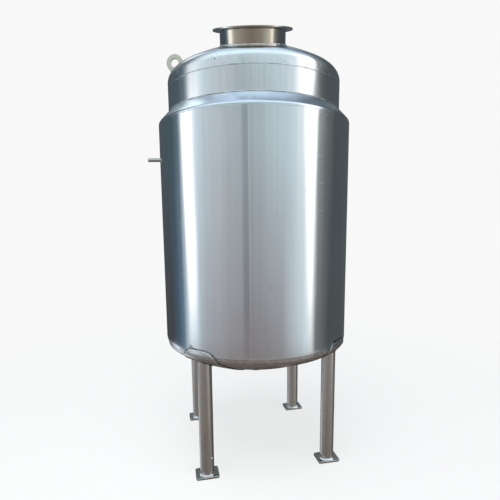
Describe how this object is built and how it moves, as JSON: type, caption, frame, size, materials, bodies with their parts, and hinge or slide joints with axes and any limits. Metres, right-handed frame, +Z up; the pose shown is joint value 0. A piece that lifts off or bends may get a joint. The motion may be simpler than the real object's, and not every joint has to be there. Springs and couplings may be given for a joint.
{
  "type": "vertical storage tank",
  "caption": "Vertical jacketed steel storage tank with dished ends, a leaning flanged neck, conical shoulder, lifting lugs and tubular legs on foot plates.",
  "frame": {"origin": "on the floor, under the tank's vertical axis, between the foot plates", "axes": "+Z up along the tank's axis; -Y is the front, between the front legs; +X is the viewer's right at the front"},
  "size_m": [0.9595, 0.9, 1.9779],
  "materials": {
    "polished_steel": "fine vertical polish, near mirror, with light swirls and scratches",
    "leg_steel": "satin tube with a faint brown cast",
    "plate_steel": "dull plate, darker near its welds",
    "lug_steel": "dull beige-grey, as cut"
  },
  "bodies": {
    "root": {"vessel_shell": "polished_steel", "vessel_top_head": "polished_steel", "vessel_bottom_head": "polished_steel", "neck_pipe": "polished_steel", "neck_flange": "polished_steel", "jacket_shell": "polished_steel", "jacket_shoulder": "polished_steel", "jacket_bottom": "polished_steel", "leg_pad_front_left": "polished_steel", "leg_pad_front_right": "polished_steel", "leg_pad_back_right": "polished_steel", "leg_pad_back_left": "polished_steel", "leg_front_left": "leg_steel", "leg_front_right": "leg_steel", "leg_back_right": "leg_steel", "leg_back_left": "leg_steel", "foot_plate_front_left": "plate_steel", "foot_plate_front_right": "plate_steel", "foot_plate_back_right": "plate_steel", "foot_plate_back_left": "plate_steel", "lifting_lug_left": "lug_steel", "lifting_lug_right": "lug_steel", "side_nozzle": "leg_steel", "bottom_outlet": "polished_steel", "outlet_ferrule": "polished_steel"}
  },
  "joints": []
}
